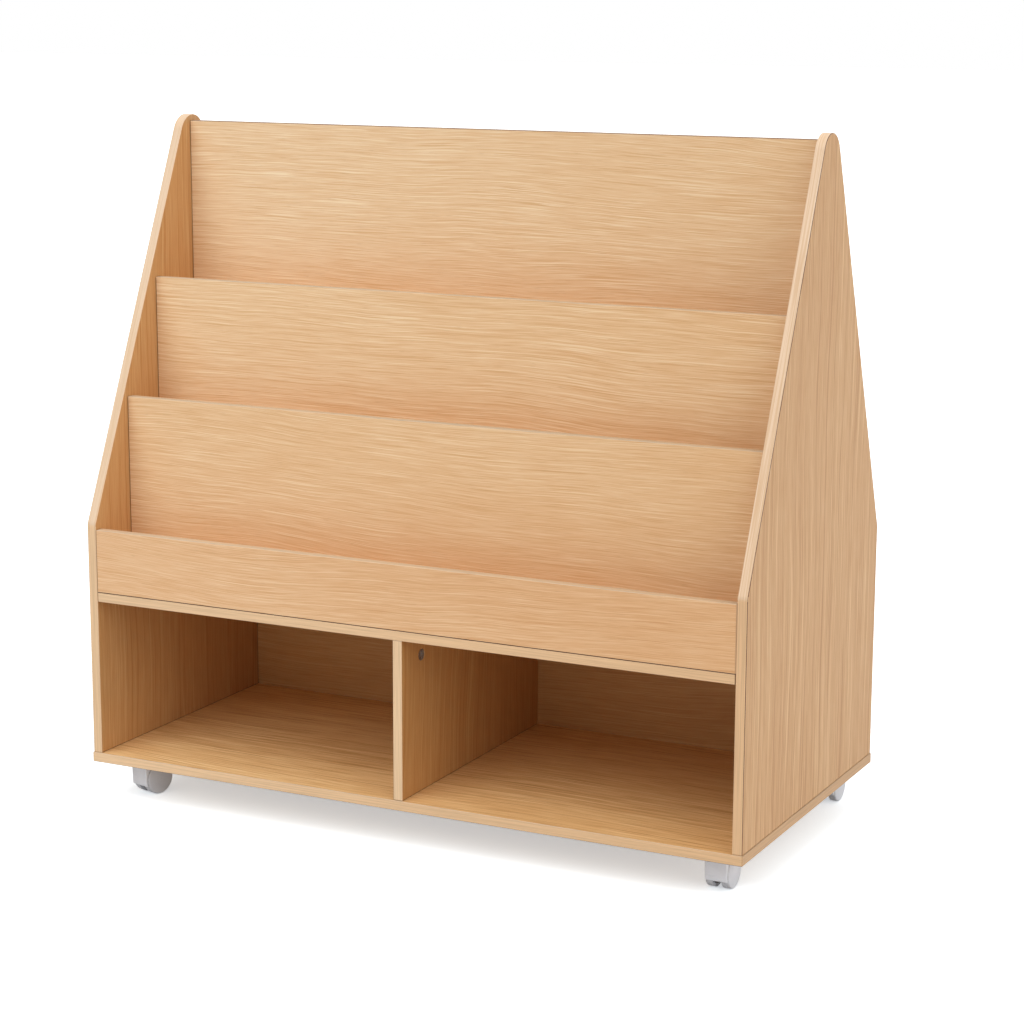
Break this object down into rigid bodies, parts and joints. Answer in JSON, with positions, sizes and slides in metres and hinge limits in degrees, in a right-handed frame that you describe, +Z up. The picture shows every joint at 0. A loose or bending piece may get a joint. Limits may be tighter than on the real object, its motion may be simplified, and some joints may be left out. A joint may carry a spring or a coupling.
{
  "type": "mobile kids bookcase",
  "caption": "Low wooden bookcase on hooded swivel casters, with tapered side panels and tiered pockets that show book covers above open cubbies.",
  "frame": {"origin": "on the floor, under the middle of the base board", "axes": "+X to the right seen from the front, +Y towards the back, +Z up"},
  "size_m": [0.9, 0.455, 0.87],
  "materials": {
    "oak_upright_grain": "satin-lacquered light oak veneer, open grain running upwards",
    "oak_level_grain": "satin-lacquered light oak veneer, open grain running along the width",
    "beech_dowel": "fluted beech, unfinished",
    "zinc_cam": "dark zinc die casting",
    "steel_fastener": "zinc-plated steel",
    "steel_plate": "pressed zinc-plated steel",
    "steel_pin": "turned steel",
    "nylon_washer": "natural nylon",
    "nylon_hood": "light grey moulded nylon, satin",
    "nylon_wheel": "light grey moulded nylon, satin"
  },
  "bodies": {
    "cabinet": {"left_side_panel": "oak_upright_grain", "right_side_panel": "oak_upright_grain", "centre_divider": "oak_upright_grain", "base_board": "oak_level_grain", "cubby_back_panel": "oak_level_grain", "shelf_board": "oak_level_grain", "front_lip": "oak_level_grain", "lower_display_panel": "oak_level_grain", "middle_display_panel": "oak_level_grain", "top_display_panel": "oak_level_grain", "lower_pocket_floor": "oak_level_grain", "upper_pocket_floor": "oak_level_grain", "cam_locks": "zinc_cam", "cam_bolts": "steel_fastener", "dowels": "beech_dowel", "base_screws": "steel_fastener", "caster_screws": "steel_fastener", "caster_plate_front_left": "steel_plate", "caster_kingpin_front_left": "steel_pin", "caster_plate_front_right": "steel_plate", "caster_kingpin_front_right": "steel_pin", "caster_plate_rear_left": "steel_plate", "caster_kingpin_rear_left": "steel_pin", "caster_plate_rear_right": "steel_plate", "caster_kingpin_rear_right": "steel_pin"},
    "swivel_front_left": {"caster_hood_front_left": "nylon_hood", "caster_axle_front_left": "steel_pin", "caster_washer_front_left": "nylon_washer"},
    "wheel_left_front_left": {"caster_wheel_left_front_left": "nylon_wheel"},
    "wheel_right_front_left": {"caster_wheel_right_front_left": "nylon_wheel"},
    "swivel_front_right": {"caster_hood_front_right": "nylon_hood", "caster_axle_front_right": "steel_pin", "caster_washer_front_right": "nylon_washer"},
    "wheel_left_front_right": {"caster_wheel_left_front_right": "nylon_wheel"},
    "wheel_right_front_right": {"caster_wheel_right_front_right": "nylon_wheel"},
    "swivel_rear_left": {"caster_hood_rear_left": "nylon_hood", "caster_axle_rear_left": "steel_pin", "caster_washer_rear_left": "nylon_washer"},
    "wheel_left_rear_left": {"caster_wheel_left_rear_left": "nylon_wheel"},
    "wheel_right_rear_left": {"caster_wheel_right_rear_left": "nylon_wheel"},
    "swivel_rear_right": {"caster_hood_rear_right": "nylon_hood", "caster_axle_rear_right": "steel_pin", "caster_washer_rear_right": "nylon_washer"},
    "wheel_left_rear_right": {"caster_wheel_left_rear_right": "nylon_wheel"},
    "wheel_right_rear_right": {"caster_wheel_right_rear_right": "nylon_wheel"}
  },
  "joints": [
    {"name": "front_left_swivel", "type": "hinge", "parent": "cabinet", "child": "swivel_front_left", "pos_m": [-0.403, -0.1855, 0.0445], "axis": [0, 0, 1], "continuous": true},
    {"name": "front_left_left_roll", "type": "hinge", "parent": "swivel_front_left", "child": "wheel_left_front_left", "pos_m": [-0.40911, -0.16523, 0.021], "axis": [0.9659, -0.2588, 0], "continuous": true},
    {"name": "front_left_right_roll", "type": "hinge", "parent": "swivel_front_left", "child": "wheel_right_front_left", "pos_m": [-0.38757, -0.171, 0.021], "axis": [0.9659, -0.2588, 0], "continuous": true},
    {"name": "front_right_swivel", "type": "hinge", "parent": "cabinet", "child": "swivel_front_right", "pos_m": [0.403, -0.1855, 0.0445], "axis": [0, 0, 1], "continuous": true},
    {"name": "front_right_left_roll", "type": "hinge", "parent": "swivel_front_right", "child": "wheel_left_front_right", "pos_m": [0.39185, -0.1675, 0.021], "axis": [1, 0, 0], "continuous": true},
    {"name": "front_right_right_roll", "type": "hinge", "parent": "swivel_front_right", "child": "wheel_right_front_right", "pos_m": [0.41415, -0.1675, 0.021], "axis": [1, 0, 0], "continuous": true},
    {"name": "rear_left_swivel", "type": "hinge", "parent": "cabinet", "child": "swivel_rear_left", "pos_m": [-0.403, 0.1855, 0.0445], "axis": [0, 0, 1], "continuous": true},
    {"name": "rear_left_left_roll", "type": "hinge", "parent": "swivel_rear_left", "child": "wheel_left_rear_left", "pos_m": [-0.41415, 0.2035, 0.021], "axis": [1, 0, 0], "continuous": true},
    {"name": "rear_left_right_roll", "type": "hinge", "parent": "swivel_rear_left", "child": "wheel_right_rear_left", "pos_m": [-0.39185, 0.2035, 0.021], "axis": [1, 0, 0], "continuous": true},
    {"name": "rear_right_swivel", "type": "hinge", "parent": "cabinet", "child": "swivel_rear_right", "pos_m": [0.403, 0.1855, 0.0445], "axis": [0, 0, 1], "continuous": true},
    {"name": "rear_right_left_roll", "type": "hinge", "parent": "swivel_rear_right", "child": "wheel_left_rear_right", "pos_m": [0.39185, 0.2035, 0.021], "axis": [1, 0, 0], "continuous": true},
    {"name": "rear_right_right_roll", "type": "hinge", "parent": "swivel_rear_right", "child": "wheel_right_rear_right", "pos_m": [0.41415, 0.2035, 0.021], "axis": [1, 0, 0], "continuous": true}
  ]
}
